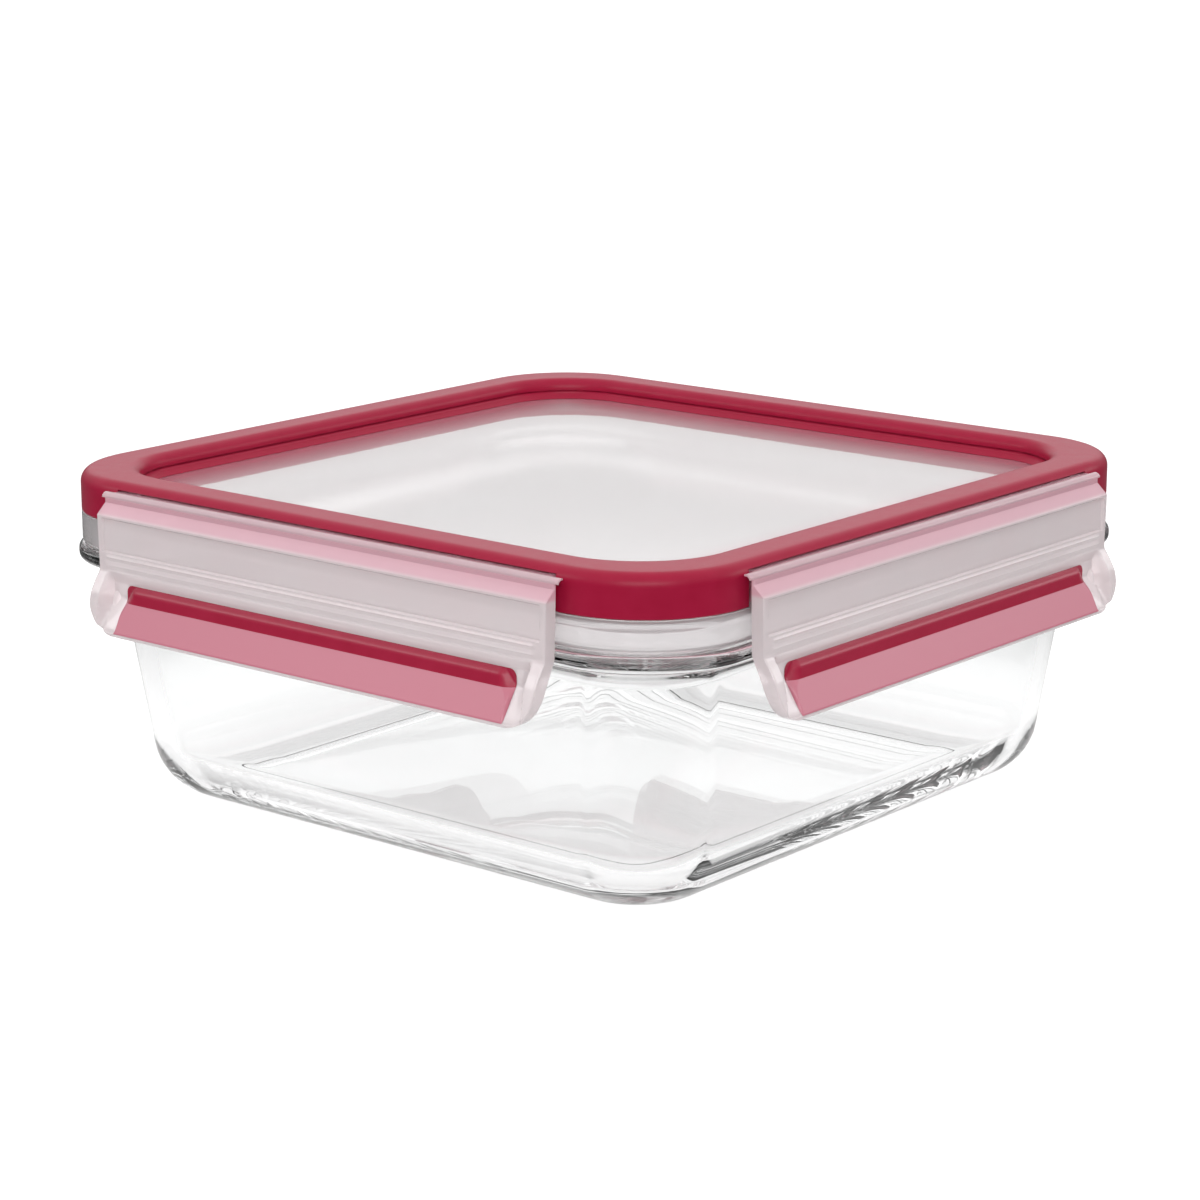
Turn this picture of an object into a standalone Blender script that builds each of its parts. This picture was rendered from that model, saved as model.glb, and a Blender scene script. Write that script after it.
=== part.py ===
"""Square glass storage dish with a clip-on lid.

The dish is one glass piece with a flange under its rim. The lid is a clear plate with a soft rim
moulded on it, a soft seal underneath, and four clear flaps that swing on film hinges. A hook rib
inside each flap catches under the glass flange, and each flap has a soft finger pad.
The origin is the centre of the dish's underside, +Z is up. Lengths below are in millimetres.
"""

import math

import bmesh
import bpy
from mathutils import Matrix, Vector

MM = 0.001
GAP = 0.3                 # clearance kept between touching pieces
CORNER_STEPS = 8          # straight segments in each rounded corner

# Glass dish
RIM_HALF = 82.4           # half the flange's width
RIM_CORNER = 23.0         # plan radius of the flange's corners
FLANGE_BOTTOM = 51.0
FLANGE_TOP = 54.3
RIM_TOP = 59.5
UPSTAND_HALF = 78.5       # outer face of the upstand above the flange
UPSTAND_WALL = 3.4
WALL_TAPER = math.radians(6.7)
WALL_HALF = 71.1          # outer half width where the wall meets the base fillet
WALL_CORNER = 18.0
WALL_THICK = 3.6
BASE_FILLET = 13.0
FLOOR_THICK = 5.5
FLOOR_FILLET = 10.0
CORNER_PULL = 0.8         # how fast the plan corner tightens round a fillet

# Lid plate
LID_HALF = 81.6
PANEL_TOP = 65.0
PANEL_THICK = 2.2
RIDGE_INNER = 73.2
RIDGE_TOP = 67.3
WEB_HALF = 80.0           # outer face of the wall that the soft rim wraps
SKIRT_INNER = 79.0
SKIRT_TOP = 61.0
SKIRT_BOTTOM = 54.8
SEAL_OUTER = 78.4         # outer wall of the seal's groove
PLUG_OUTER = 74.4
PLUG_THICK = 1.6
PLUG_BOTTOM = 57.3
LEDGE_HALF_LENGTH = 56.8
LEDGE_REACH = 82.3        # outer face of the hinge ledges
LEDGE_TOP = 67.7
LEDGE_THICK = 1.0

# Soft rim
FRAME_TOP = 69.5
FRAME_INNER = 71.5
FRAME_INNER_CORNER = 17.5
FRAME_BOTTOM = SKIRT_TOP + GAP
SHOULDER = 2.6            # rounding of the rim's outer top edge
CREST = 2.4               # rounding of its inner top edge

# Clips: half widths are measured outward from the centre of the dish
HINGE_HALF = 82.9
HINGE_Z = 67.2
FLAP_INNER = 83.2
FLAP_OUTER = 86.0
NECK_THICK = 0.5          # thin strip at the top that leads to the film hinge
CHAMFER_TOP = 65.7
CHAMFER_LOW = 63.6
FLAP_TOP = 66.65
FLAP_BOTTOM = 40.2
FLAP_LENGTH = 58.6        # half lengths
FLAP_FOOT_LENGTH = 58.2
FLAP_FOOT_CORNER = 7.5
PANEL_LENGTH = 57.2
PANEL_TOP_EDGE = 63.2
PANEL_LOW_EDGE = 56.2
PANEL_RECESS = 0.5
HOOK_TIP = 80.5
HOOK_TOP = FLANGE_BOTTOM - GAP
HOOK_LENGTH = 50.0
PAD_LENGTH = 51.0
PAD_THICK = 1.0
POCKET_REACH = 6.0        # how far the pocket cutter stands out of the flap
FILM_WIDE = 0.6
FILM_THICK = 0.3
FILM_LENGTH = 58.3

SIDES = ("front", "right", "back", "left")      # each a quarter turn on from the one before

COLOURS = {
    "glass": ((0.90, 0.93, 0.92, 0.35), 0.03),
    "clear_plastic": ((0.86, 0.80, 0.81, 0.45), 0.12),
    "soft_red": ((0.46, 0.055, 0.10, 1.0), 0.38),
}


def make_material(name):
    colour, roughness = COLOURS[name]
    material = bpy.data.materials.new(name)
    material.use_nodes = True
    shader = material.node_tree.nodes["Principled BSDF"]
    shader.inputs["Base Color"].default_value = colour
    shader.inputs["Roughness"].default_value = roughness
    shader.inputs["Metallic"].default_value = 0.0
    shader.inputs["Alpha"].default_value = colour[3]
    return material


def make_collection(name):
    collection = bpy.data.collections.new(name)
    bpy.context.scene.collection.children.link(collection)
    return collection


def make_object(name, mesh, material, collection, parent=None):
    obj = bpy.data.objects.new(name, mesh)
    if not mesh.materials:
        mesh.materials.append(material)
    collection.objects.link(obj)
    obj.parent = parent
    return obj


def finish_mesh(name, mesh_data):
    """Turn a bmesh into a mesh with outward faces and crisp edges kept crisp."""
    bmesh.ops.recalc_face_normals(mesh_data, faces=mesh_data.faces)
    mesh = bpy.data.meshes.new(name)
    mesh_data.to_mesh(mesh)
    mesh_data.free()
    mesh.shade_smooth()
    mesh.set_sharp_from_angle(angle=math.radians(35))
    return mesh


def rim_corner(half):
    """Plan corner radius of a section that runs parallel to the flange's edge."""
    return RIM_CORNER - (RIM_HALF - half)


def parallel(profile):
    """Give each (half width, height) of a profile the corner radius that keeps it parallel."""
    return [(half, rim_corner(half), height) for half, height in profile]


def rounded_square(half, corner, height):
    points = []
    for quarter in range(4):
        turn = Matrix.Rotation(quarter * math.pi / 2, 3, "Z")
        for step in range(CORNER_STEPS + 1):
            angle = math.pi / 2 * step / CORNER_STEPS
            reach = half - corner
            point = Vector((reach + corner * math.cos(angle), reach + corner * math.sin(angle), height))
            points.append(turn @ point * MM)
    return points


def loft(name, sections, closed):
    """Skin rounded squares. A closed loft is a ring, an open one is capped at both ends."""
    data = bmesh.new()
    rings = [[data.verts.new(p) for p in rounded_square(*section)] for section in sections]
    count = len(rings[0])
    pairs = list(zip(rings, rings[1:]))
    if closed:
        pairs.append((rings[-1], rings[0]))
    for low, high in pairs:
        for i in range(count):
            j = (i + 1) % count
            data.faces.new((low[i], low[j], high[j], high[i]))
    if not closed:
        data.faces.new(rings[0])
        data.faces.new(rings[-1])
    return finish_mesh(name, data)


def arc(centre_x, centre_y, radius, start, end, steps):
    """Points on an arc, with the angles in degrees."""
    angles = [math.radians(start + (end - start) * step / steps) for step in range(steps + 1)]
    return [(centre_x + radius * math.cos(a), centre_y + radius * math.sin(a)) for a in angles]


def outline_prism(name, outline, half_depth, turn):
    """Thicken a flat outline both ways and turn it into place; the result is a welded mesh."""
    curve = bpy.data.curves.new(name, "CURVE")
    curve.dimensions = "2D"
    curve.fill_mode = "BOTH"
    curve.extrude = half_depth * MM
    spline = curve.splines.new("POLY")
    spline.points.add(len(outline) - 1)
    for point, (x, y) in zip(spline.points, outline):
        point.co = (x * MM, y * MM, 0.0, 1.0)
    spline.use_cyclic_u = True
    guide = bpy.data.objects.new(name, curve)
    bpy.context.scene.collection.objects.link(guide)
    depsgraph = bpy.context.evaluated_depsgraph_get()
    raw = bpy.data.meshes.new_from_object(guide.evaluated_get(depsgraph))
    bpy.data.objects.remove(guide)
    data = bmesh.new()
    data.from_mesh(raw)
    bpy.data.meshes.remove(raw)
    bmesh.ops.remove_doubles(data, verts=data.verts, dist=1e-6)
    bmesh.ops.transform(data, matrix=turn.to_4x4(), verts=data.verts)
    return finish_mesh(name, data)


# A section lies in (outward, up) and is thickened along the side of the dish, which is local X
SECTION_TURN = Matrix(((0, 0, -1), (-1, 0, 0), (0, 1, 0)))
# An elevation lies in (along, up) and is thickened outward
ELEVATION_TURN = Matrix.Rotation(math.pi / 2, 3, "X")


def cutter_object(name, mesh, collection, location=(0, 0, 0)):
    obj = bpy.data.objects.new(name, mesh)
    collection.objects.link(obj)
    obj.location = Vector(location) * MM
    obj.hide_render = True
    obj.display_type = "WIRE"
    return obj


def add_boolean(obj, cutter, operation):
    modifier = obj.modifiers.new(cutter.name, "BOOLEAN")
    modifier.object = cutter
    modifier.operation = operation


def combine(name, base_mesh, steps, cutters):
    """Run Boolean steps on a mesh and return the result as one clean mesh."""
    base = cutter_object(name + "_blank", base_mesh, cutters)
    for operation, mesh in steps:
        add_boolean(base, cutter_object(mesh.name, mesh, cutters), operation)
    bpy.context.view_layer.update()
    depsgraph = bpy.context.evaluated_depsgraph_get()
    result = bpy.data.meshes.new_from_object(base.evaluated_get(depsgraph))
    result.name = name
    result.materials.clear()
    return result


def side_boxes(inner, outer, bottom, top, half_length, cutters, name):
    """One box along each side of the lid, as cutters or as blocks to join on."""
    boxes = []
    for index, side in enumerate(SIDES):
        bpy.ops.mesh.primitive_cube_add(size=1)
        box = bpy.context.object
        box.name = f"{name}_{side}"
        box.data.transform(Matrix.Diagonal((2 * half_length * MM, (outer - inner) * MM, (top - bottom) * MM, 1)))
        turn = Matrix.Rotation(index * math.pi / 2, 4, "Z")
        box.location = turn @ Vector((0, -(inner + outer) / 2 * MM, (bottom + top) / 2 * MM))
        box.rotation_euler = (0, 0, index * math.pi / 2)
        for collection in list(box.users_collection):
            collection.objects.unlink(box)
        cutters.objects.link(box)
        box.hide_render = True
        box.display_type = "WIRE"
        boxes.append(box)
    return boxes


def dish_sections():
    """From the centre of the underside, out and up the wall, over the rim and down to the floor."""
    taper = math.degrees(WALL_TAPER)
    foot = WALL_HALF - BASE_FILLET * math.cos(WALL_TAPER)
    outside = arc(foot, BASE_FILLET, BASE_FILLET, -90, -taper, 7)
    sections = [(half, WALL_CORNER - CORNER_PULL * (WALL_HALF - half), height) for half, height in outside]
    shoulder_z = FLANGE_BOTTOM - 1.2
    shoulder = WALL_HALF + (shoulder_z - outside[-1][1]) * math.tan(WALL_TAPER)
    sections.append((shoulder, WALL_CORNER, shoulder_z))
    sections += parallel([
        (shoulder + 1.2, FLANGE_BOTTOM),
        (RIM_HALF - 0.9, FLANGE_BOTTOM), (RIM_HALF, FLANGE_BOTTOM + 0.9),
        (RIM_HALF, FLANGE_TOP - 0.9), (RIM_HALF - 0.9, FLANGE_TOP),
        (UPSTAND_HALF, FLANGE_TOP), (UPSTAND_HALF, RIM_TOP - 0.8), (UPSTAND_HALF - 0.8, RIM_TOP),
        (UPSTAND_HALF - UPSTAND_WALL + 0.8, RIM_TOP), (UPSTAND_HALF - UPSTAND_WALL, RIM_TOP - 0.8),
        (UPSTAND_HALF - UPSTAND_WALL, FLANGE_TOP),
    ])
    inner_z = FLOOR_THICK + FLOOR_FILLET * (1 - math.sin(WALL_TAPER))
    inner_foot = WALL_HALF - WALL_THICK
    neck_z = FLANGE_BOTTOM - 4.0
    neck = inner_foot + (neck_z - inner_z) * math.tan(WALL_TAPER)
    inner_corner = WALL_CORNER - WALL_THICK
    sections.append((neck, inner_corner, neck_z))
    inside = arc(inner_foot - FLOOR_FILLET * math.cos(WALL_TAPER), FLOOR_THICK + FLOOR_FILLET,
                 FLOOR_FILLET, -taper, -90, 6)
    sections += [(half, inner_corner - CORNER_PULL * (inner_foot - half), height) for half, height in inside]
    return sections


def lid_sections():
    """From the panel's top, past the rim's seat and the ridge, round the skirt and back underneath."""
    ridge_corner = FRAME_INNER_CORNER + RIDGE_INNER - FRAME_INNER
    panel_bottom = PANEL_TOP - PANEL_THICK
    plug_inner = PLUG_OUTER - PLUG_THICK
    seat = PANEL_TOP - GAP
    sections = [
        (FRAME_INNER - GAP, FRAME_INNER_CORNER - GAP, PANEL_TOP), (FRAME_INNER - GAP, FRAME_INNER_CORNER - GAP, seat),
        (RIDGE_INNER, ridge_corner, seat), (RIDGE_INNER, ridge_corner, RIDGE_TOP),
    ]
    sections += parallel([
        (WEB_HALF - 0.7, RIDGE_TOP), (WEB_HALF, RIDGE_TOP - 0.7), (WEB_HALF, SKIRT_TOP),
        (LID_HALF, SKIRT_TOP), (LID_HALF, SKIRT_BOTTOM + 0.4), (LID_HALF - 0.4, SKIRT_BOTTOM),
        (SKIRT_INNER + 0.4, SKIRT_BOTTOM), (SKIRT_INNER, SKIRT_BOTTOM + 0.4),
        (SKIRT_INNER, RIM_TOP + 0.5), (SEAL_OUTER, RIM_TOP + 1.1), (SEAL_OUTER, PANEL_TOP),
        (PLUG_OUTER, PANEL_TOP), (PLUG_OUTER, PLUG_BOTTOM + 0.4), (PLUG_OUTER - 0.4, PLUG_BOTTOM),
        (plug_inner + 0.4, PLUG_BOTTOM), (plug_inner, PLUG_BOTTOM + 0.4), (plug_inner, panel_bottom),
    ])
    return sections


def frame_sections():
    """The soft rim: inner lip, rounded crest and the outer wall that hangs to the skirt."""
    inner_face = RIDGE_INNER - GAP
    web_face = WEB_HALF + GAP
    underside = RIDGE_TOP + GAP
    foot = PANEL_TOP
    inner_crest = arc(FRAME_INNER + CREST, FRAME_TOP - CREST, CREST, 180, 90, 4)
    sections = [(FRAME_INNER, FRAME_INNER_CORNER, foot)]
    sections += [(half, FRAME_INNER_CORNER + half - FRAME_INNER, height) for half, height in inner_crest]
    crest = arc(LID_HALF - SHOULDER, FRAME_TOP - SHOULDER, SHOULDER, 90, 0, 5)
    sections += parallel(crest + [
        (LID_HALF, FRAME_BOTTOM), (web_face, FRAME_BOTTOM),
        (web_face, underside - 0.7), (web_face - 0.7, underside),
    ])
    inner_corner = FRAME_INNER_CORNER + inner_face - FRAME_INNER
    sections += [(inner_face, inner_corner, underside), (inner_face, inner_corner, foot)]
    return sections


def seal_sections():
    """The soft seal: a block in the lid's groove with two lips on the glass rim."""
    outer = SEAL_OUTER - GAP
    inner = PLUG_OUTER + GAP
    top = PANEL_TOP - GAP
    bottom = RIM_TOP + GAP
    middle = (outer + inner) / 2
    return parallel([
        (inner, top), (outer, top), (outer, bottom + 1.2), (outer - 0.4, bottom),
        (middle + 0.5, bottom), (middle, bottom + 0.7), (middle - 0.5, bottom),
        (inner + 0.4, bottom), (inner, bottom + 0.5),
    ])


# The lower part of a flap bulges outward: these points run down its outer face
LIP_BULGE = [(86.1, 52.4), (87.3, 50.6), (88.6, 48.4), (89.4, 45.6), (89.6, 42.2)]
# The pad lies in the bulge: a steep band above and a wide sloping facet for the fingertips below
PAD_FACE = [(86.2, 49.6), (86.75, 46.9), (89.5, 41.2)]
WEB_THICK = 0.9           # plastic left behind the pad


def inset(points, depth):
    """Move the pad's face straight inward and a little down, and return it reversed."""
    facet = Vector(points[-1]) - Vector(points[-2])
    inward = Vector((facet.y, -facet.x)).normalized() * depth
    return [(x + inward.x, y + inward.y) for x, y in reversed(points)]


def from_hinge(points):
    return [(x - HINGE_HALF, y - HINGE_Z) for x, y in points]


def flap_section():
    """Outer face from the hinge down, round the foot, and up the inner face past the hook."""
    back = inset(PAD_FACE[1:], PAD_THICK + GAP + WEB_THICK)
    return from_hinge([
        (FLAP_INNER, FLAP_TOP), (FLAP_INNER + NECK_THICK, FLAP_TOP), (FLAP_INNER + NECK_THICK, CHAMFER_TOP),
        (FLAP_OUTER, CHAMFER_LOW),
        (FLAP_OUTER, 55.9), (FLAP_OUTER + 0.3, 55.5), (FLAP_OUTER, 55.1),
        *LIP_BULGE,
        (LIP_BULGE[-1][0] - 0.1, FLAP_BOTTOM + 0.3), (LIP_BULGE[-1][0] - 0.5, FLAP_BOTTOM),
        (back[0][0] + 0.2, FLAP_BOTTOM), *back,
        (FLAP_INNER, HOOK_TOP - 2.0), (HOOK_TIP + 0.5, HOOK_TOP - 1.6), (HOOK_TIP, HOOK_TOP - 1.1),
        (HOOK_TIP, HOOK_TOP - 0.3), (HOOK_TIP + 0.3, HOOK_TOP),
        (FLAP_INNER, HOOK_TOP),
    ])


def flap_elevation():
    """Outline seen from outside: square at the hinge, pulled in with large round corners below."""
    top = FLAP_TOP - HINGE_Z + 1
    waist = 50.5 - HINGE_Z
    foot = FLAP_BOTTOM - HINGE_Z - 0.5
    centre = (FLAP_FOOT_LENGTH - FLAP_FOOT_CORNER, foot + FLAP_FOOT_CORNER)
    right = [(FLAP_LENGTH, top), (FLAP_LENGTH - 0.4, waist)]
    right += [(x, y) for x, y in arc(*centre, FLAP_FOOT_CORNER, 0, -90, 7)]
    return right + [(-x, y) for x, y in reversed(right)]


def pad_section(grow):
    """A bent strip; growing it gives the pocket, which is open on its outer side."""
    top, fold, foot = (Vector(p) for p in PAD_FACE)
    upward = (top - fold).normalized() * grow
    onward = (foot - fold).normalized() * grow
    top, foot = top + upward, foot + onward
    back = inset([tuple(top), tuple(fold), tuple(foot)], PAD_THICK + grow)
    if not grow:
        return from_hinge([tuple(top), tuple(fold), tuple(foot), *back])
    reach = Vector((POCKET_REACH, 0.0))
    return from_hinge([tuple(top), tuple(top + reach), tuple(foot + reach), tuple(foot), *back])


def pad_elevation(grow):
    """The pad's outline: a long strip with its corners eased."""
    half = PAD_LENGTH + grow
    top = PAD_FACE[0][1] - HINGE_Z + 3
    fold = PAD_FACE[1][1] - HINGE_Z
    foot = FLAP_BOTTOM - HINGE_Z - 2
    right = [(half - 1.5, top), (half, fold + 1), (half, fold - 3), (half - 1.5, foot)]
    return right + [(-x, y) for x, y in reversed(right)]


def pad_solid(name, grow, cutters):
    strip = outline_prism(name + "_section", pad_section(grow), PAD_LENGTH + 5, SECTION_TURN)
    window = outline_prism(name + "_window", pad_elevation(grow), 20, ELEVATION_TURN)
    return combine(name, strip, [("INTERSECT", window)], cutters)


def flap_mesh(cutters):
    """Section cut to its elevation, then the pad's pocket, the panel and the hook's ends."""
    section = outline_prism("flap_section", flap_section(), FLAP_LENGTH + 2, SECTION_TURN)
    outline = outline_prism("flap_outline", flap_elevation(), 20, ELEVATION_TURN)
    pocket = pad_solid("pad_pocket", GAP, cutters)
    recess = outline_prism("panel_recess", from_hinge([
        (FLAP_OUTER - PANEL_RECESS, PANEL_TOP_EDGE), (FLAP_OUTER + 3, PANEL_TOP_EDGE),
        (FLAP_OUTER + 3, PANEL_LOW_EDGE), (FLAP_OUTER - PANEL_RECESS, PANEL_LOW_EDGE),
    ]), PANEL_LENGTH, SECTION_TURN)
    steps = [("INTERSECT", outline), ("DIFFERENCE", pocket), ("DIFFERENCE", recess)]
    for sign in (-1, 1):
        low = HOOK_TOP - 3.4 - HINGE_Z
        high = HOOK_TOP + 0.5 - HINGE_Z
        near, far = sorted((sign * HOOK_LENGTH, sign * (FLAP_LENGTH + 3)))
        bpy.ops.mesh.primitive_cube_add(size=1)
        box = bpy.context.object
        mesh = box.data
        mesh.name = f"hook_trim_{'left' if sign < 0 else 'right'}"
        width = FLAP_INNER - HOOK_TIP + 1
        place = Matrix.Translation(Vector(((near + far) / 2, HINGE_HALF - FLAP_INNER + width / 2,
                                           (low + high) / 2)) * MM)
        mesh.transform(place @ Matrix.Diagonal(((far - near) * MM, width * MM, (high - low) * MM, 1)))
        bpy.data.objects.remove(box)
        steps.append(("DIFFERENCE", mesh))
    return combine("clip_flap", section, steps, cutters)


def film_mesh():
    half_w, half_z = FILM_WIDE / 2, FILM_THICK / 2
    strip = [(half_w, half_z), (-half_w, half_z), (-half_w, -half_z), (half_w, -half_z)]
    return outline_prism("hinge_film", strip, FILM_LENGTH, SECTION_TURN)


def main():
    for obj in list(bpy.data.objects):
        bpy.data.objects.remove(obj)
    parts = make_collection("glass_storage_container")
    cutters = make_collection("cutters")
    glass, clear, soft = (make_material(name) for name in COLOURS)

    make_object("glass_dish", loft("glass_dish", dish_sections(), closed=False), glass, parts)

    plate = make_object("lid_plate", loft("lid_plate", lid_sections(), closed=False), clear, parts)
    blocks = side_boxes(WEB_HALF - 0.5, LID_HALF, SKIRT_TOP - 0.5, RIDGE_TOP - 0.1, LEDGE_HALF_LENGTH,
                        cutters, "hinge_block")
    ledges = side_boxes(LID_HALF - 0.5, LEDGE_REACH, LEDGE_TOP - LEDGE_THICK, LEDGE_TOP,
                        LEDGE_HALF_LENGTH, cutters, "hinge_ledge")
    for block in blocks + ledges:
        add_boolean(plate, block, "UNION")

    rim = make_object("lid_soft_rim", loft("lid_soft_rim", frame_sections(), closed=True), soft, parts)
    for notch in side_boxes(WEB_HALF, LID_HALF + 2, FRAME_BOTTOM - 2, LEDGE_TOP + GAP,
                            LEDGE_HALF_LENGTH + GAP, cutters, "rim_notch"):
        add_boolean(rim, notch, "DIFFERENCE")

    make_object("rim_seal", loft("rim_seal", seal_sections(), closed=True), soft, parts)

    flap, pad, film = flap_mesh(cutters), pad_solid("clip_grip", 0.0, cutters), film_mesh()
    for index, side in enumerate(SIDES):
        hinge = bpy.data.objects.new(f"hinge_axis_{side}", None)
        parts.objects.link(hinge)
        turn = Matrix.Rotation(index * math.pi / 2, 3, "Z")
        hinge.location = turn @ Vector((0, -HINGE_HALF, HINGE_Z)) * MM
        hinge.rotation_euler = (0, 0, index * math.pi / 2)
        make_object(f"clip_flap_{side}", flap, clear, parts, hinge)
        make_object(f"clip_grip_{side}", pad, soft, parts, hinge)
        make_object(f"hinge_film_{side}", film, clear, parts, hinge)


main()
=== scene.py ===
import math

import bmesh
import bpy
import numpy as np
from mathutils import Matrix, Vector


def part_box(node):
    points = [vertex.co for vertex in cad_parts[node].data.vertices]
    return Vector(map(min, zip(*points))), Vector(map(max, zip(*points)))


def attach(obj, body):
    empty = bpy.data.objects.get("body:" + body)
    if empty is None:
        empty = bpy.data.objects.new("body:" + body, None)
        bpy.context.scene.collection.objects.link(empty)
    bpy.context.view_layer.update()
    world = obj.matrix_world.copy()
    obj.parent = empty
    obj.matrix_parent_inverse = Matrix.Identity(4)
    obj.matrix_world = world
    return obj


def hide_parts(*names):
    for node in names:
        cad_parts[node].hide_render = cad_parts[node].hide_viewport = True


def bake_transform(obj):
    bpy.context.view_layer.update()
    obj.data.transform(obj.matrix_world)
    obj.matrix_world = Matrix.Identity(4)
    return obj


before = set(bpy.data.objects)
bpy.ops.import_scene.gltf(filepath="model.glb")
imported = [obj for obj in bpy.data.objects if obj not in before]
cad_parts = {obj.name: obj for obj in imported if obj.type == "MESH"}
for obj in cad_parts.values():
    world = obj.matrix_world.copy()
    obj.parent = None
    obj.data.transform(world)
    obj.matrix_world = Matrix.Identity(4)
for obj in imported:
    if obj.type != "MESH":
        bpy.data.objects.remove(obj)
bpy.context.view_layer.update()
print("frame loaded,", len(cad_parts), "nodes")

mm = 0.001
sideNames = ("front", "right", "back", "left")      # each a quarter turn on from the one before

# ---- sizes that the frame gives, in millimetres
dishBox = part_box("glass_dish")
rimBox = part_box("lid_soft_rim")
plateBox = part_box("lid_plate")
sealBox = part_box("rim_seal")
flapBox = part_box("clip_flap_right")
flangeHalf = dishBox[1].x / mm
dishTop = dishBox[1].z / mm
lidHalf = rimBox[1].x / mm
lidTop = rimBox[1].z / mm
skirtBottom = plateBox[0].z / mm
ledgeReach = plateBox[1].x / mm
ledgeTop = plateBox[1].z / mm
flapTop = flapBox[1].z / mm
flapBottom = flapBox[0].z / mm
flapLength = flapBox[1].y / mm
lipReach = flapBox[1].x / mm
flangeCorner = 23.0           # plan radius of the flange, which the lid's edges run parallel to


# ---- shader helper: a node's output that adds and multiplies like a number
class Wire:
    def __init__(self, tree, socket=None):
        self.tree = tree
        self.socket = socket

    def node(self, kind, settings, inputs, output=0):
        made = self.tree.nodes.new("ShaderNode" + kind)
        for key, value in settings.items():
            if key == "stops":
                ramp = made.color_ramp
                while len(ramp.elements) < len(value):
                    ramp.elements.new(0.5)
                for element, (position, colour) in zip(ramp.elements, value):
                    element.position = position
                    element.color = (*colour, 1.0)
            else:
                setattr(made, key, value)
        for key, value in inputs.items():
            self.feed(made.inputs[key], value)
        return Wire(self.tree, made.outputs[output])

    def feed(self, target, value):
        if isinstance(value, Wire):
            self.tree.links.new(value.socket, target)
        else:
            target.default_value = value

    def calc(self, operation, first, second):
        return self.node("Math", {"operation": operation}, {0: first, 1: second})

    def __add__(self, other):
        return self.calc("ADD", self, other)

    def __sub__(self, other):
        return self.calc("SUBTRACT", self, other)

    def __rsub__(self, other):
        return self.calc("SUBTRACT", other, self)

    def __mul__(self, other):
        return self.calc("MULTIPLY", self, other)

    __radd__ = __add__
    __rmul__ = __mul__


def startMaterial(name, constants):
    material = bpy.data.materials.new(name)
    material.use_nodes = True
    shader = material.node_tree.nodes["Principled BSDF"]
    for key, value in constants.items():
        shader.inputs[key].default_value = value
    wire = Wire(material.node_tree)
    place = wire.node("TexCoord", {}, {}, output=3)      # Object coordinates
    return material, shader, wire, place


def noiseAt(wire, place, scale, detail=2.0):
    return wire.node("TexNoise", {}, {"Vector": place, "Scale": scale, "Detail": detail, "Roughness": 0.5})


def mixColours(wire, factor, low, high):
    return wire.node("Mix", {"data_type": "RGBA"}, {0: factor, 6: (*low, 1.0), 7: (*high, 1.0)}, output=2)


glassLook = {
    "tint": (0.985, 0.990, 0.990), "ior": 1.50, "rippleScale": 40.0, "rippleDepth": 0.00003,
    "rippleStrength": 0.35, "fineScale": 420.0, "fineShare": 0.06, "haze": 0.004, "gloss": 0.002,
}


def makeGlass():
    # pressed soda glass: clear, with the slow ripple that a mould leaves and a few finer ones
    look = glassLook
    material, shader, wire, place = startMaterial("clearGlass", {
        "Base Color": (*look["tint"], 1.0), "Transmission Weight": 1.0, "IOR": look["ior"],
    })
    ripple = noiseAt(wire, place, look["rippleScale"], 1.0)
    fine = noiseAt(wire, place, look["fineScale"], 2.0)
    bump = wire.node("Bump", {}, {
        "Strength": look["rippleStrength"], "Distance": look["rippleDepth"],
        "Height": ripple + fine * look["fineShare"],
    })
    wire.feed(shader.inputs["Normal"], bump)
    wire.feed(shader.inputs["Roughness"], fine * look["haze"] + look["gloss"])
    return material


plasticLook = {
    "ior": 1.47, "grainScale": 1500.0, "cloudScale": 70.0, "cloudShare": 4.0, "grainDepth": 0.00001,
    "grainStrength": 0.3, "speckGloss": 0.01,
}


def makeClearPlastic(name, tint, milk, gloss):
    # clear moulded plastic: a share of milkiness, cloudy gloss and a faint grain
    look = plasticLook
    material, shader, wire, place = startMaterial(name, {"Transmission Weight": 1.0 - milk, "IOR": look["ior"]})
    cloud = noiseAt(wire, place, look["cloudScale"], 3.0)
    speck = noiseAt(wire, place, look["grainScale"], 2.0)
    paler = tuple(0.5 + 0.5 * part for part in tint)
    colour = mixColours(wire, cloud, tint, paler)
    wire.feed(shader.inputs["Base Color"], colour)
    wire.feed(shader.inputs["Roughness"], cloud * gloss + speck * look["speckGloss"])
    bump = wire.node("Bump", {}, {
        "Strength": look["grainStrength"], "Distance": look["grainDepth"],
        "Height": speck + cloud * look["cloudShare"],
    })
    wire.feed(shader.inputs["Normal"], bump)
    return material, shader, wire, place, colour


def paintRimReflection(parts, measure, low, high, rimReflectionPink):
    # painted reflection of the red rim, where it shows through the clear plastic: the colour is painted towards pink
    # as the measure goes from low to high
    material, shader, wire, _, colour = parts
    share = wire.node("MapRange", {"interpolation_type": "SMOOTHSTEP"}, {
        0: measure, 1: low * mm, 2: high * mm, 3: 0.0, 4: 1.0,
    })
    blend = wire.node("Mix", {"data_type": "RGBA"}, {0: share, 6: colour, 7: (*rimReflectionPink, 1.0)}, output=2)
    wire.feed(shader.inputs["Base Color"], blend)
    return material


# the pink and its reach are a painted reflection of the red rim on the panel
plateLook = {
    "tint": (0.95, 0.90, 0.91), "milk": 0.30, "gloss": 0.03, "rimReflectionPink": (0.96, 0.44, 0.54),
    "rimReflectionFrom": 56.0, "rimReflectionTo": 71.0, "rimReflectionAbove": 62.0,
}


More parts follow.
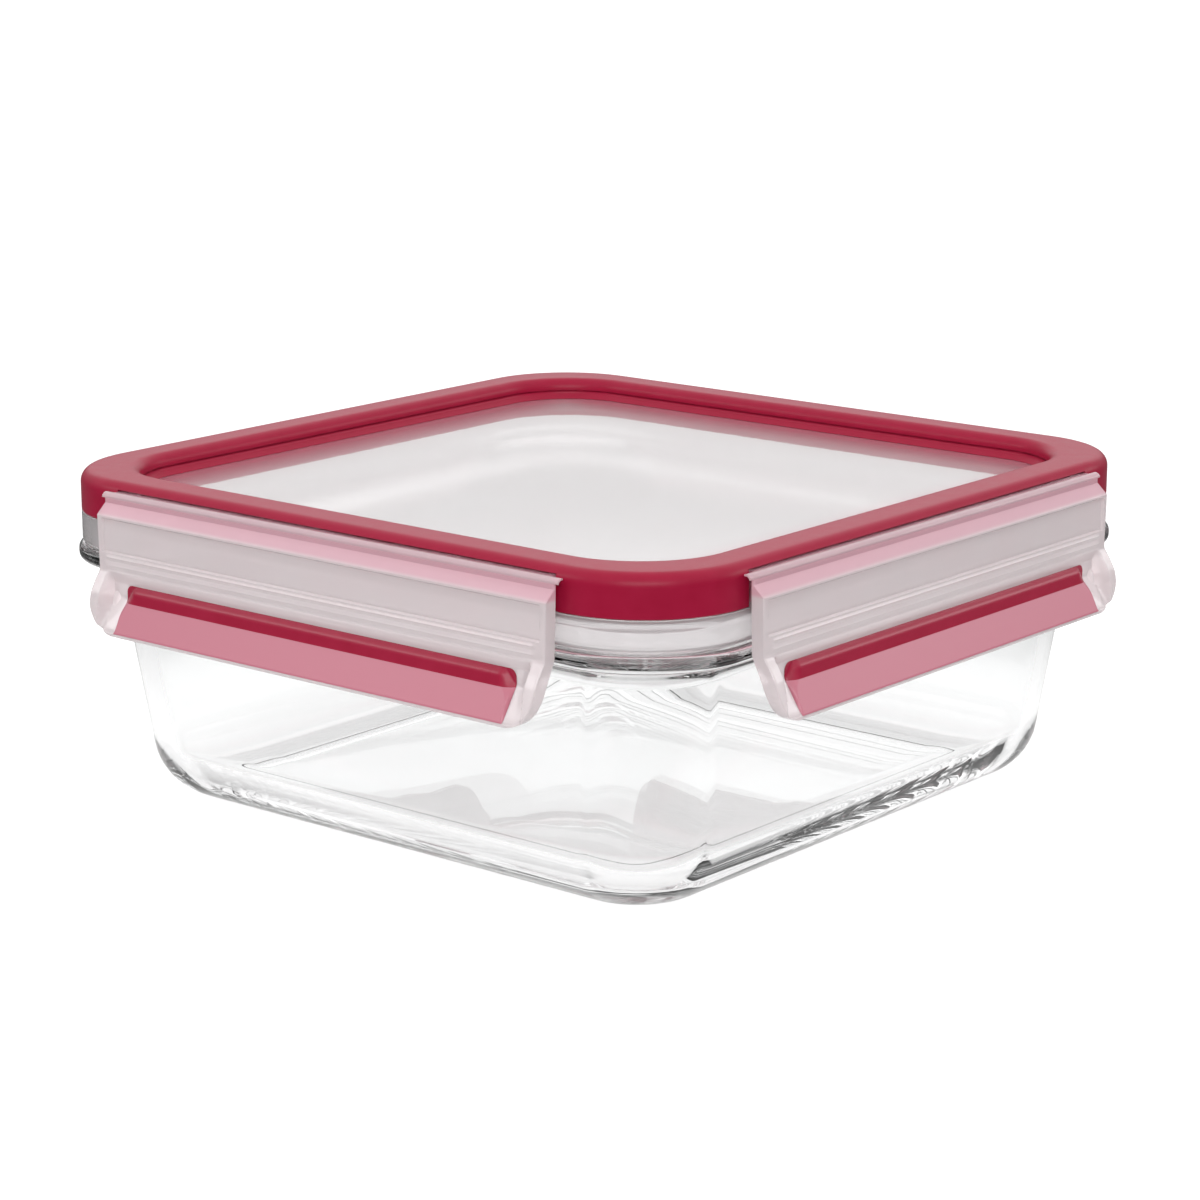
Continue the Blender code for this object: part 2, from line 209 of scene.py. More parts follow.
def makePlatePlastic():
    # the lid's panel is painted pink towards the rim as a reflection of the red rim, and the skirt below it stays
    # clear
    look = plateLook
    parts = makeClearPlastic("platePlastic", look["tint"], look["milk"], look["gloss"])
    wire, place = parts[2:4]
    x, y, z = [wire.node("SeparateXYZ", {}, {0: place}, output=k) for k in (0, 1, 2)]
    above = wire.node("Math", {"operation": "GREATER_THAN"}, {0: z, 1: look["rimReflectionAbove"] * mm})
    sizes = [wire.node("Math", {"operation": "ABSOLUTE"}, {0: part}) for part in (x, y)]
    reach = wire.node("Math", {"operation": "MAXIMUM"}, dict(enumerate(sizes)))
    return paintRimReflection(parts, reach * above, look["rimReflectionFrom"], look["rimReflectionTo"], look["rimReflectionPink"])


# the pink and its band are a painted reflection of the red rim on the clips
flapLook = {
    "tint": (1.0, 0.88, 0.90), "milk": 0.60, "gloss": 0.26, "rimReflectionPink": (1.0, 0.62, 0.71),
    "rimReflectionFrom": 63.2, "rimReflectionTo": 64.2,
}


def makeFlapPlastic():
    # the clips are painted pink along the chamfer and the neck, next to the rim, as a painted reflection of the red
    # rim
    look = flapLook
    parts = makeClearPlastic("flapPlastic", look["tint"], look["milk"], look["gloss"])
    wire, place = parts[2:4]
    height = wire.node("SeparateXYZ", {}, {0: place}, output=2)
    return paintRimReflection(parts, height, look["rimReflectionFrom"], look["rimReflectionTo"], look["rimReflectionPink"])


softLook = {
    # facet is a painted highlight colour: the paler pink of a grip's up-facing facet under the lights
    "deep": (0.330, 0.004, 0.032), "light": (0.395, 0.007, 0.045), "facet": (0.640, 0.240, 0.310),
    "mottleScale": 260.0, "mottleGloss": 0.10, "grainScale": 2600.0, "grainGloss": 0.06, "grainDepth": 0.00003,
    "grainStrength": 0.30, "ior": 1.5, "coatRoughness": 0.22,
}


def makeSoftRed(name, roughness, coat, specular, facetHighlightShare):
    # cranberry soft plastic: faint mottling in colour and gloss under a fine satin grain; below a
    # pad's fold the facet gets a painted highlight, a paler pink by the facet share
    look = softLook
    material, shader, wire, place = startMaterial(name, {
        "IOR": look["ior"], "Coat Roughness": look["coatRoughness"], "Specular IOR Level": specular,
    })
    mottle = noiseAt(wire, place, look["mottleScale"], 4.0)
    grain = noiseAt(wire, place, look["grainScale"], 2.0)
    colour = mixColours(wire, mottle, look["deep"], look["light"])
    # painted highlight: below the fold the facet is painted a paler pink
    if facetHighlightShare:
        height = wire.node("SeparateXYZ", {}, {0: place}, output=2)
        low = wire.node("Math", {"operation": "LESS_THAN"}, {0: height, 1: gripShape["foldZ"] * mm})
        facet = {0: low * facetHighlightShare, 6: colour, 7: (*look["facet"], 1.0)}
        colour = wire.node("Mix", {"data_type": "RGBA"}, facet, output=2)
    wire.feed(shader.inputs["Base Color"], colour)
    wire.feed(shader.inputs["Roughness"], mottle * look["mottleGloss"] + grain * look["grainGloss"] + roughness)
    wire.feed(shader.inputs["Coat Weight"], mottle * look["mottleGloss"] + coat)
    bump = wire.node("Bump", {}, {
        "Strength": look["grainStrength"], "Distance": look["grainDepth"], "Height": grain + mottle,
    })
    wire.feed(shader.inputs["Normal"], bump)
    return material


gripShape = {
    "length": 51.0, "faceLength": 50.6, "topZ": 50.2, "foldZ": 46.9, "lowZ": 41.0, "bandOut": 86.75, "lipOut": 89.5,
    "bandLean": 0.15, "crown": 1.5, "fall": 0.9, "fallRise": 2.5, "fallEnd": 0.8, "cornerRound": 3.0, "edge": 0.25,
    "seatGap": 0.07, "leastThick": 0.05, "rowStep": 0.35, "endZone": 7.0, "still": 44.6,
}

clearGlass = makeGlass()
platePlastic = makePlatePlastic()
flapPlastic = makeFlapPlastic()
filmPlastic = makeClearPlastic("filmPlastic", (0.98, 0.66, 0.73), 0.45, 0.2)[0]
rimRed = makeSoftRed("rimRed", 0.28, 0.0, 0.20, 0.0)
# the grips carry a painted highlight on their facets
gripRed = makeSoftRed("gripRed", 0.24, 0.10, 0.4, 0.8)
print("materials made")


# ---- surfaces
def roundPath(points, radii, steps=5, lead=0.35):
    # Each bend of a polyline becomes an arc that touches both of its runs. A short straight lead
    # on either side keeps the shading of the runs flat. A radius of nought repeats the point.
    path = []
    for i, (point, radius) in enumerate(zip(points, radii)):
        here = np.array(point, float)
        if radius == 0:
            path += [here] * (1 if i in (0, len(points) - 1) else steps + 3)
            continue
        back = np.array(points[i - 1], float) - here
        on = np.array(points[(i + 1) % len(points)], float) - here
        back /= np.linalg.norm(back)
        on /= np.linalg.norm(on)
        spread = math.acos(np.clip(back @ on, -1, 1))
        reach = radius / math.tan(spread / 2)
        middle = back + on
        centre = here + middle / np.linalg.norm(middle) * radius / math.sin(spread / 2)
        first, last = here + back * reach - centre, here + on * reach - centre
        sweep = math.pi - spread
        path.append(here + back * (reach + lead * radius))
        for share in np.linspace(0, 1, steps + 1):
            blend = first * math.sin((1 - share) * sweep) + last * math.sin(share * sweep)
            path.append(centre + blend / math.sin(sweep))
        path.append(here + on * (reach + lead * radius))
    return np.array(path)


def cornerColumns(steps):
    # (angle in the corner, straight distance before its start, straight distance past its end)
    return np.stack([np.linspace(0, math.pi / 2, steps + 1), np.zeros(steps + 1), np.zeros(steps + 1)], 1)


def ringGrid(profile, columns):
    # profile holds (half width, corner radius, height) for each row and column. A point at angle t
    # in a corner is half - corner + corner * (cos t, sin t), drawn back along the straight side by
    # the column's distances; each further quarter is turned by 90 degrees.
    half, corner, height = np.moveaxis(profile, 2, 0)
    turn = np.repeat(np.arange(4), len(columns)) * math.pi / 2
    t, before, past = np.tile(columns, (4, 1)).T
    x = half - corner + corner * np.cos(t) - past
    y = half - corner + corner * np.sin(t) - before
    return np.stack([x * np.cos(turn) - y * np.sin(turn), x * np.sin(turn) + y * np.cos(turn), height], 2)


def profileRows(path, cornerTable, columns):
    # the corner radius follows the half width through a short table of (half width, radius)
    widths, radii = np.array(cornerTable).T
    rows = np.stack([path[:, 0], np.interp(path[:, 0], widths, radii), path[:, 1]], 1)
    return np.repeat(rows[:, None, :], columns, axis=1)


def finishMesh(name, grid, faces, sharp):
    mesh = bpy.data.meshes.new(name)
    mesh.from_pydata((grid.reshape(-1, 3) * mm).tolist(), [], faces)
    work = bmesh.new()
    work.from_mesh(mesh)
    bmesh.ops.remove_doubles(work, verts=work.verts, dist=2e-6)
    bmesh.ops.dissolve_degenerate(work, edges=work.edges, dist=1e-7)
    bmesh.ops.recalc_face_normals(work, faces=work.faces)
    work.to_mesh(mesh)
    work.free()
    mesh.shade_smooth()
    mesh.set_sharp_from_angle(angle=math.radians(sharp))
    return mesh


def quadsOf(index):
    corners = [index[:-1, :-1], index[:-1, 1:], index[1:, 1:], index[1:, :-1]]
    return np.stack(corners, 2).reshape(-1, 4).tolist()


def ringMesh(name, grid, closed, sharp=32):
    # rows of rings: a closed piece joins its last row to its first, an open one gets two flat caps
    rows, columns = grid.shape[:2]
    index = np.arange(rows * columns).reshape(rows, columns)
    caps = [] if closed else [index[0].tolist(), index[-1].tolist()]
    if closed:
        index = np.vstack([index, index[:1]])
    return finishMesh(name, grid, quadsOf(np.hstack([index, index[:, :1]])) + caps, sharp)


def shellMesh(name, outer, inner, sharp=32):
    # an outer and an inner sheet on the same rows and columns, closed all round
    rows, columns = outer.shape[:2]
    grid = np.vstack([outer, inner[::-1]])
    index = np.arange(2 * rows * columns).reshape(2 * rows, columns)
    faces = quadsOf(np.vstack([index, index[:1]]))
    j = np.arange(rows - 1)
    for column in (0, columns - 1):
        edge = index[:, column]
        faces += np.stack([edge[j], edge[j + 1], edge[2 * rows - 2 - j], edge[2 * rows - 1 - j]], 1).tolist()
    return finishMesh(name, grid, faces, sharp)


def placeSide(along, outward, up, quarter):
    # (along, outward, up) of the front side, where outward is -Y, turned by quarters about Z
    x, y = along, -outward
    angle = quarter * math.pi / 2
    return np.stack([x * math.cos(angle) - y * math.sin(angle), x * math.sin(angle) + y * math.cos(angle), up], 2)


def addPiece(name, mesh, material, nodes, body):
    piece = bpy.data.objects.new(name, mesh)
    bpy.context.scene.collection.objects.link(piece)
    mesh.materials.append(material)
    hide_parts(*nodes)
    if body:
        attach(piece, body)
    return piece


def smooth(value, low, high):
    t = np.clip((value - low) / (high - low), 0, 1)
    return t * t * (3 - 2 * t)


# ---- glass dish
dishShape = {
    "footHalf": 50.0, "footRise": 0.25, "wallFoot": 69.75, "taper": math.tan(math.radians(6.7)),
    "baseRound": 13.0, "shoulderZ": 49.8, "flangeBottom": 51.0, "flangeTop": 54.3, "upstand": 78.5,
    "upstandWall": 3.4, "floor": 5.5, "innerFoot": 66.46, "floorRound": 9.0, "neckZ": 47.0,
    "cornerSteps": 26,
}


def makeDish():
    # underside, base round, leaning wall, flange, upstand and rim; then down the inside to the floor
    s = dishShape
    shoulder = s["wallFoot"] + s["shoulderZ"] * s["taper"]
    inside = s["upstand"] - s["upstandWall"]
    neck = s["innerFoot"] + (s["neckZ"] - s["floor"]) * s["taper"]
    outer = roundPath([
        (s["footHalf"], s["footRise"]), (s["footHalf"] + 2.5, 0.0), (s["wallFoot"], 0.0),
        (shoulder, s["shoulderZ"]), (shoulder + 1.2, s["flangeBottom"]),
        (flangeHalf, s["flangeBottom"]), (flangeHalf, s["flangeTop"]), (s["upstand"], s["flangeTop"]),
        (s["upstand"], dishTop), (inside, dishTop),
    ], [0, 4.0, s["baseRound"], 3.0, 0.6, 1.3, 1.3, 0.6, 1.0, 0], steps=10)
    inner = roundPath([
        (s["upstand"], dishTop), (inside, dishTop), (inside, s["flangeTop"] - 0.4), (neck, s["neckZ"]),
        (s["innerFoot"], s["floor"]), (s["footHalf"] - 2, s["floor"]),
    ], [0, 1.0, 5.0, 6.0, s["floorRound"], 0], steps=10)
    outerTable = [(50, 2.0), (58.2, 7.7), (71.1, 18), (75.6, 18), (76.9, 17.5), (flangeHalf, flangeCorner)]
    innerTable = [(48, 2.0), (57.5, 6.5), (67.5, 14.4), (neck, 14.4), (inside, 15.7), (78.5, 19.1)]
    columns = cornerColumns(s["cornerSteps"])
    count = 4 * len(columns)
    rows = [profileRows(outer[:-1], outerTable, count), profileRows(inner[1:], innerTable, count)]
    mesh = ringMesh("glassDish", ringGrid(np.concatenate(rows), columns), closed=False)
    addPiece("glassDish", mesh, clearGlass, ["glass_dish"], "dish")


makeDish()
print("dish made")


# ---- lid: the clear plate, the soft rim over its ridge and the seal under it
lidShape = {
    "panelTop": 65.0, "panelThick": 2.2, "seat": 64.75, "rimInner": 71.5, "rimInnerCorner": 17.5,
    "ridgeInner": 72.85, "ridgeTop": 67.65, "web": 80.25, "ledgeFoot": 81.2, "skirtTop": 61.0, "skirtInner": 79.0,
    "sealOuter": 78.4, "plugOuter": 74.4, "plugThick": 1.6, "plugBottom": 57.3, "ledgeThick": 1.0,
    "notchTop": 68.0, "shoulder": 2.6, "crest": 2.4, "cornerSteps": 26, "blockLength": 56.8, "notchLength": 57.1,
    "plateTurnRow": 30, "rimSteps": 8, "rimFoot": 1.3, "sideStep": 0.02,
}


def edgeTable():
    return [(lidShape["plugOuter"] - 2, flangeCorner - flangeHalf + lidShape["plugOuter"] - 2),
            (flangeHalf + 1, flangeCorner + 1)]


def innerTable(inner):
    return [(inner - 3, lidShape["rimInnerCorner"] - 3), (inner + 3, lidShape["rimInnerCorner"] + 3)]


def splitColumns(sideLength):
    # corner columns with a pair on the straight side at each end, where the section changes
    corner = cornerColumns(lidShape["cornerSteps"])
    back = flangeHalf - flangeCorner - sideLength
    further = back + lidShape["sideStep"]
    start = [[0, further, 0], [0, back, 0]]
    end = [[math.pi / 2, 0, back], [math.pi / 2, 0, further]]
    columns = np.concatenate([start, corner, end])
    alongSide = np.zeros(len(columns), bool)
    alongSide[[0, -1]] = True
    return columns, np.tile(alongSide, 4)


def makeLidPlate():
    # Panel, seat, ridge, wall or hinge ledge, skirt, seal groove, plug wall, underside of the panel.
    # Between the clips the wall steps in for the soft rim; behind them it stands out to the ledge.
    # From the turn row, in the ridge's top bend, the corners follow the lid's edge, not its inside.
    s = lidShape
    plugInner = s["plugOuter"] - s["plugThick"]
    under = s["panelTop"] - s["panelThick"]
    step = s["rimInner"] - 0.3
    start = [(s["rimInner"] - 6, s["panelTop"]), (step, s["panelTop"]), (step, s["seat"]),
             (s["ridgeInner"], s["seat"]), (s["ridgeInner"], s["ridgeTop"])]
    startRadii = [0, 0, 0, 0.2, 0.3]
    corner = [(s["web"], s["ridgeTop"]), (s["web"], s["panelTop"]), (s["web"], s["skirtTop"] + 0.4),
              (s["web"], s["skirtTop"]), (lidHalf, s["skirtTop"])]
    cornerRadii = [0.4, 0, 0, 0.1, 0.25]
    beside = [(s["ledgeFoot"], s["ridgeTop"]), (s["ledgeFoot"], ledgeTop), (ledgeReach, ledgeTop),
              (ledgeReach, ledgeTop - s["ledgeThick"]), (lidHalf, ledgeTop - s["ledgeThick"])]
    besideRadii = [0, 0, 0.3, 0.3, 0]
    finish = [(lidHalf, skirtBottom), (s["skirtInner"], skirtBottom), (s["skirtInner"], dishTop + 0.5),
              (s["sealOuter"], dishTop + 1.1), (s["sealOuter"], s["panelTop"]), (s["plugOuter"], s["panelTop"]),
              (s["plugOuter"], s["plugBottom"]), (plugInner, s["plugBottom"]), (plugInner, under),
              (s["rimInner"] - 8, under)]
    finishRadii = [0.5, 0.5, 0.3, 0.3, 0.3, 0.3, 0.5, 0.5, 0.8, 0]
    columns, alongSide = splitColumns(s["blockLength"])
    sections = []
    for middle, radii in ((corner, cornerRadii), (beside, besideRadii)):
        path = roundPath(start + middle + finish, startRadii + radii + finishRadii)
        turn = s["plateTurnRow"]
        sections.append(np.concatenate([profileRows(path[:turn], innerTable(s["rimInner"]), len(alongSide)),
                                        profileRows(path[turn:], edgeTable(), len(alongSide))]))
    profile = np.where(alongSide[None, :, None], sections[1], sections[0])
    mesh = ringMesh("lidPlate", ringGrid(profile, columns), closed=False)
    addPiece("lidPlate", mesh, platePlastic, ["lid_plate"], "lid")


def makeSoftRim():
    # foot on the panel, inner face, crest, flat band, rounded shoulder and outer wall; beside the
    # clips the wall stops at a notch
    s = lidShape
    inner = s["rimInner"]
    foot = inner - s["rimFoot"]
    path = roundPath([
        (foot, s["panelTop"] + 0.03), (foot + 0.1, s["panelTop"] + 0.15), (inner, s["panelTop"] + 1.1),
        (inner + 0.15, lidTop), (lidHalf, lidTop - 0.15),
        (lidHalf, s["skirtTop"] + 0.05), (s["web"] + 0.05, s["skirtTop"] + 0.05),
        (s["web"] + 0.05, s["ridgeTop"] + 0.05), (s["ridgeInner"] - 0.05, s["ridgeTop"] + 0.05),
        (s["ridgeInner"] - 0.05, s["seat"] + 0.1), (inner - 0.2, s["seat"] + 0.1),
        (inner - 0.2, s["panelTop"] + 0.03),
    ], [0.05, 0.05, 1.0, s["crest"], s["shoulder"], 0.3, 0.2, 0.35, 0.3, 0.2, 0.05, 0.02], steps=s["rimSteps"])
    columns, alongSide = splitColumns(s["notchLength"])
    count = len(alongSide)
    bendRows = s["rimSteps"] + 3
    isEdge = np.zeros(len(path), bool)
    isEdge[4 * bendRows:8 * bendRows] = True            # from the shoulder to the top of the web
    edge = profileRows(path, edgeTable(), count)
    lip = profileRows(path, innerTable(inner), count)
    corner = np.where(isEdge[:, None, None], edge, lip)
    low = (path[:, 1] < s["notchTop"]) & isEdge & (path[:, 0] > s["web"] - 0.1)
    drop = s["notchTop"] - lidTop + s["shoulder"]
    shoulderHalf = lidHalf - s["shoulder"] + math.sqrt(s["shoulder"] ** 2 - drop ** 2)
    notched = np.stack([np.minimum(path[:, 0], shoulderHalf), np.full(len(path), s["notchTop"])], 1)
    cutEdge = profileRows(np.where(low[:, None], notched, path), edgeTable(), count)
    beside = np.where(isEdge[:, None, None], cutEdge, lip)
    profile = np.where(alongSide[None, :, None], beside, corner)
    mesh = ringMesh("softRim", ringGrid(profile, columns), closed=True)
    addPiece("softRim", mesh, rimRed, ["lid_soft_rim"], "lid")


sealShape = {"press": 0.2, "lipDrop": 0.9, "lipWide": 0.4, "valley": 0.8, "innerDrop": 0.6, "gap": 0.1, "steps": 4}


def makeSeal():
    # a block in the groove with two soft lips that meet the glass rim
    s = sealShape
    outer, inner = sealBox[1].x / mm + s["press"], lidShape["plugOuter"] + s["gap"]
    top, bottom = lidShape["panelTop"] - s["gap"], sealBox[0].z / mm
    middle = (outer + inner) / 2
    path = roundPath([
        (inner, top), (outer, top), (outer, bottom + s["lipDrop"]), (outer - s["lipDrop"], bottom),
        (middle + s["lipWide"], bottom + 0.1), (middle, bottom + s["valley"]), (middle - s["lipWide"], bottom + 0.1),
        (inner + s["innerDrop"], bottom), (inner, bottom + s["innerDrop"]),
    ], [0.3, 0.3, 0.4, 0.3, 0.2, 0.2, 0.2, 0.3, 0.3], steps=s["steps"])
    columns = cornerColumns(lidShape["cornerSteps"])
    rows = profileRows(path, edgeTable(), 4 * len(columns))
    mesh = ringMesh("rimSeal", ringGrid(rows, columns), closed=True)
    addPiece("rimSeal", mesh, rimRed, ["rim_seal"], "lid")


makeLidPlate()
makeSoftRim()
makeSeal()
print("lid made")


# ---- clips: flap, grip and film hinge on each side
flapShape = {
    "inner": 83.2, "outer": 86.0, "neck": 0.5, "chamferTop": 65.7, "chamferLow": 63.6, "bulgeTop": 52.5,
    "recessLength": 57.2, "recessTop": 63.2, "recessLow": 56.2, "recess": 0.5,
    "hookTip": 80.5, "hookTop": 50.7, "hookLength": 50.0, "cheekFrom": 54.4, "cheekTo": 55.8,
    "hookDrops": (0.0, 0.15, 0.9, 2.2), "hookLead": 2.45, "hookFade": 0.6,
    "footLength": 58.2, "footCorner": 7.5, "edgeRound": 0.5, "lipTop": 42.2, "lipFold": 41.0,
    "cheek": [(87.35, 50.6), (88.65, 48.4), (89.35, 45.6)], "cheekRounds": [0, 0.1, 0.25, 1.6, 3.5, 4.0, 5.0, 5.0, 0],
    "hollow": [(85.15, 50.4), (85.05, 47.3), (88.75, 41.55), (89.35, 41.0)],
    "hollowRounds": [0, 0.1, 0.25, 0.6, 0.8, 1.6, 0.6, 0.3, 0], "pathSteps": 8, "pathLead": 0.05,
    "back": [(83.2, 48.7), (84.6, 46.2), (87.3, 40.6)], "backFoot": 87.4,
    "cheekBack": [(83.2, 52.6), (84.4, 50.0), (85.6, 47.5), (86.4, 44.8)], "cheekBackFoot": 86.9,
    "backFrom": 51.5, "backTo": 54.0, "rowStep": 0.4, "endZone": 9.0, "still": 48.0, "recessSoft": 0.35,
    "mouldLines": ((55.5, 0.30), (54.6, -0.14), (53.7, 0.20), (52.9, -0.10)), "lineWidth": 0.22, "lineFade": 2.0,
}


def byHeight(points, z):
    # outward distance at each height, from a path that runs downward
    line = np.array(points)
    return np.interp(-z, -line[:, 1], line[:, 0])


def flapOuter(along, z):
    # neck, chamfer and flat; below them the cheeks bulge at both ends, and between the cheeks the
    # face steps back into the hollow that holds the grip and runs out to the lip
    s = flapShape
    neck = s["inner"] + s["neck"]
    upper = [(neck, flapTop + 0.1), (neck, s["chamferTop"]), (s["outer"], s["chamferLow"]),
             (s["outer"], s["bulgeTop"])]
    cheek = roundPath(upper + s["cheek"] + [(lipReach - 0.03, s["lipTop"]), (lipReach - 0.2, flapBottom)],
                      s["cheekRounds"], s["pathSteps"], s["pathLead"])
    hollow = roundPath(upper + s["hollow"] + [(lipReach - 0.12, flapBottom)],
                       s["hollowRounds"], s["pathSteps"], s["pathLead"])
    share = smooth(np.abs(along), s["cheekFrom"], s["cheekTo"])
    return byHeight(hollow, z) * (1 - share) + byHeight(cheek, z) * share


def flapInner(along, z):
    # flat, then out behind the grip, and less steeply behind the cheeks; the hook rib stands on the
    # flat and ends short of the flap's ends
    s = flapShape
    middle = byHeight([(s["inner"], flapTop)] + s["back"] + [(s["backFoot"], flapBottom)], z)
    end = byHeight([(s["inner"], flapTop)] + s["cheekBack"] + [(s["cheekBackFoot"], flapBottom)], z)
    share = smooth(np.abs(along), s["backFrom"], s["backTo"])
    drop = s["hookTop"] - z
    rib = np.interp(drop, s["hookDrops"], [0, s["hookLead"], s["inner"] - s["hookTip"], 0])
    rib = np.where(drop < 0, 0, rib) * (1 - smooth(np.abs(along), s["hookLength"] - s["hookFade"], s["hookLength"]))
    return middle * (1 - share) + end * share - rib


def flapHalfLength(z):
    # a slight taper to the lip, then a quarter round at each lower corner
    s = flapShape
    start = flapBottom + s["footCorner"]
    drop = np.clip((start - z) / s["footCorner"], 0, 1)
    upper = flapLength - (flapLength - s["footLength"]) * smooth(-z, -flapTop, -start)
    return upper - s["footCorner"] * (1 - np.sqrt(1 - drop ** 2 * 0.9999))


nearMark = (-0.3, -0.15, 0.0, 0.15, 0.3)             # extra rows and columns about a line where the form changes
columnStep = {"middle": 4.0, "end": 0.4}


def sheetRows(heights, spacing):
    # rows at an even spacing with extra ones at both sides of every height where the form changes
    extra = np.concatenate([np.array(heights) + shift for shift in nearMark])
    low, high = min(heights), max(heights)
    rows = np.concatenate([np.arange(low, high, spacing), extra])
    rows = np.unique(np.round(rows[(rows >= low) & (rows <= high)], 3))
    return rows[::-1]


def sheetColumns(limit, marks, endZone):
    # wide columns along the middle, narrow ones in the end zones, at every mark and at the ends
    middle = np.arange(0, limit - endZone, columnStep["middle"])
    ends = np.arange(limit - endZone, limit, columnStep["end"])
    extra = np.concatenate([np.array(marks) + shift for shift in nearMark])
    edge = limit - np.array([0.5, 0.36, 0.24, 0.14, 0.06, 0.0])
    half = np.unique(np.round(np.concatenate([middle, ends, extra, edge]), 3))
    half = half[(half >= 0) & (half <= limit)]
    return np.concatenate([-half[:0:-1], half])


def fitColumns(columns, limit, full, still):
    # past the still part, the columns close up in step with the sheet's half length at that height
    past = np.maximum(np.abs(columns) - still, 0) / (full - still)
    return np.sign(columns) * (np.minimum(np.abs(columns), still) + past * (limit - still))


def boxMask(along, z, length, low, high, soft):
    inside = 1 - smooth(np.abs(along), length - soft, length)
    return inside * smooth(z, low, low + soft) * (1 - smooth(z, high - soft, high))


def roundedEdge(distance, radius):
    # how far a face falls back at a distance from an edge that is rounded with the radius
    share = 1 - np.clip(distance / radius, 0, 1)
    return radius * (1 - np.sqrt(1 - share ** 2 * 0.999))


def makeFlap(quarter, side):
    # the clear sheet, with a shallow recess on its flat and fine mould lines under the recess
    s = flapShape
    z = sheetRows([flapTop, s["chamferTop"], s["chamferLow"], s["recessTop"], s["recessLow"], s["hookTop"],
                   s["bulgeTop"], s["lipFold"], flapBottom], s["rowStep"])[:, None]
    columns = sheetColumns(flapLength, [s["recessLength"], s["hookLength"]], s["endZone"])[None, :]
    limit = flapHalfLength(z)
    along = fitColumns(columns, limit, flapLength, s["still"])
    z = np.broadcast_to(z, along.shape)
    recess = boxMask(along, z, s["recessLength"], s["recessLow"], s["recessTop"], s["recessSoft"])
    outer = flapOuter(along, z) - s["recess"] * recess
    between = 1 - smooth(np.abs(along), s["recessLength"] - s["lineFade"], s["recessLength"] - s["edgeRound"])
    for height, size in s["mouldLines"]:
        outer = outer + size * np.exp(-((z - height) / s["lineWidth"]) ** 2) * between
    outer = outer - roundedEdge(limit - np.abs(along), s["edgeRound"]) - roundedEdge(z - flapBottom, s["edgeRound"])
    inner = flapInner(along, z)
    mesh = shellMesh("flap_" + side, placeSide(along, outer, z, quarter), placeSide(along, inner, z, quarter))
    addPiece("flap_" + side, mesh, flapPlastic, ["clip_flap_" + side], "clip_" + side)


def makeGrip(quarter, side):
    # A steep band rounded over at its top, then a sloping facet. Past the facet's outline, which
    # has rounded upper corners, the face rolls back towards the ends.
    s = gripShape
    z = sheetRows([s["topZ"], s["foldZ"], s["lowZ"]], s["rowStep"])[:, None]
    columns = sheetColumns(s["length"], [s["faceLength"]], s["endZone"])[None, :]
    limit = s["length"] - roundedEdge(s["topZ"] - z, s["crown"])
    along = fitColumns(columns, limit, s["length"], s["still"])
    z = np.broadcast_to(z, along.shape)
    band = s["bandOut"] - (z - s["foldZ"]) * s["bandLean"] - roundedEdge(s["topZ"] - z, s["crown"])
    facet = s["bandOut"] + (s["foldZ"] - z) * (s["lipOut"] - s["bandOut"]) / (s["foldZ"] - s["lowZ"])
    outer = np.where(z > s["foldZ"], band, facet)
    past = np.abs(along) - (s["faceLength"] - s["cornerRound"])
    above = z - (s["foldZ"] - s["cornerRound"])
    away = np.hypot(np.maximum(past, 0), np.maximum(above, 0)) + np.minimum(np.maximum(past, above), 0)
    roll = np.clip(away - s["cornerRound"], 0, None)
    roll = roll * smooth(np.abs(along), s["faceLength"] - s["cornerRound"], s["faceLength"] + s["fallEnd"])
    outer = outer - s["fall"] * roll * smooth(z, s["lowZ"], s["lowZ"] + s["fallRise"])
    outer = outer - roundedEdge(z - s["lowZ"], s["edge"]) - roundedEdge(limit - np.abs(along), s["edge"] * 2)
    floor = flapOuter(0 * along, z) + s["seatGap"]
    outer = np.maximum(outer, floor + s["leastThick"])
    mesh = shellMesh("grip_" + side, placeSide(along, outer, z, quarter), placeSide(along, floor, z, quarter))
    addPiece("grip_" + side, mesh, gripRed, ["clip_grip_" + side], "clip_" + side)


filmShape = {
    "length": 59.3, "thick": 0.32, "steps": 17,
    "path": [(82.15, 67.43), (82.6, 67.47), (83.05, 67.3), (83.35, 66.98), (83.45, 66.62)],
    "columns": 9, "blendFrom": 82.4, "blendTo": 83.4, "blendZ": 67.2,
}


def makeFilm(quarter, side):
    # a thin strip bent over the groove between the lid's ledge and the flap's neck
    s = filmShape
    path = np.array(s["path"])
    share = np.linspace(0, len(path) - 1, s["steps"])
    line = np.stack([np.interp(share, np.arange(len(path)), path[:, k]) for k in (0, 1)], 1)
    tangent = np.gradient(line, axis=0)
    normal = np.stack([-tangent[:, 1], tangent[:, 0]], 1) / np.linalg.norm(tangent, axis=1)[:, None]
    along = np.linspace(-s["length"], s["length"], s["columns"])[None, :] * np.ones((len(line), 1))
    sheets = []
    for sign in (1, -1):
        edge = line + sign * normal * s["thick"] / 2
        sheets.append(placeSide(along, edge[:, :1] + 0 * along, edge[:, 1:] + 0 * along, quarter))
    mesh = shellMesh("film_" + side, *sheets, sharp=50)
    piece = addPiece("film_" + side, mesh, filmPlastic, ["hinge_film_" + side], None)
    reach, height = np.array([[s["blendFrom"], s["blendTo"]]]), np.array([[s["blendZ"], s["blendZ"]]])
    ends = placeSide(0 * reach, reach, height, quarter)[0] * mm
    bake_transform(piece)


for quarter, side in enumerate(sideNames):
    makeFlap(quarter, side)
    makeGrip(quarter, side)
    makeFilm(quarter, side)
print("clips made")


# ---- floor, light and camera
stageLook = {
    "floorSize": 40.0, "floorTone": 0.36, "shine": 0.76, "nearReach": 0.09, "farReach": 0.30, "farShare": 0.10,
    "roughness": 0.8, "drop": -0.0003, "cameraShine": 1.10, "cameraShade": 0.16, "horizon": 0.16, "zenith": 0.98,
    "brightFrom": 0.65,
}


